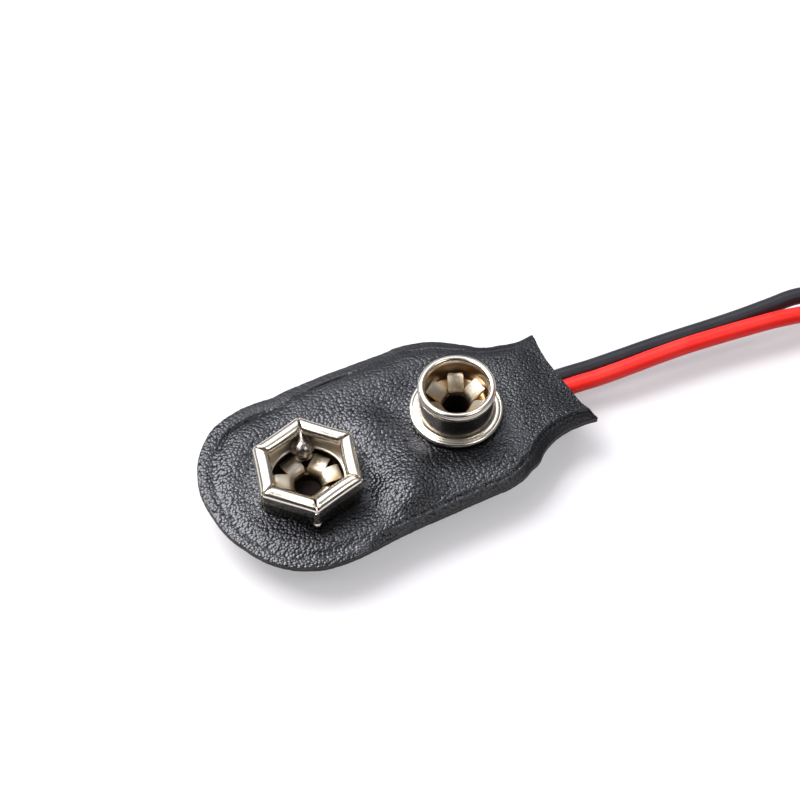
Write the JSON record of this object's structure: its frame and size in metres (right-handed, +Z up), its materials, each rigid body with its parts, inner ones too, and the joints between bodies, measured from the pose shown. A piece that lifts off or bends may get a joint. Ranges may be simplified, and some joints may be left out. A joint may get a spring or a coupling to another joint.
{
  "type": "9v battery snap",
  "caption": "Soft snap connector for a 9 V battery: a welded leatherette pad carries a hexagonal socket and a round stud, with a red and a black lead.",
  "frame": {"origin": "under the middle of the pad, on the surface that it lies on", "axes": "+X along the pad from its round end to the leads, +Z up out of the contacts"},
  "size_m": [0.0656, 0.031, 0.0069],
  "materials": {
    "leatherette": "black leatherette with a fine pebbled grain, half glossy",
    "fibre": "brown vulcanised fibre board",
    "nickel": "bright nickel plate",
    "brass": "thinly plated brass with bare cut edges",
    "tinned": "tinned copper strands and solder",
    "red_pvc": "smooth red PVC insulation",
    "black_pvc": "smooth black PVC insulation",
    "paper_tie": "paper-covered wire tie"
  },
  "bodies": {
    "root": {"top_cover": "leatherette", "bottom_cover": "leatherette", "base_plate": "fibre", "hex_socket": "nickel", "round_stud": "nickel", "socket_eyelet": "brass", "stud_eyelet": "brass", "red_joint": "tinned", "black_joint": "tinned", "red_lead": "red_pvc", "black_lead": "black_pvc", "red_coil": "red_pvc", "black_coil": "black_pvc", "coil_tie": "paper_tie", "red_tip": "tinned", "black_tip": "tinned"}
  },
  "joints": []
}
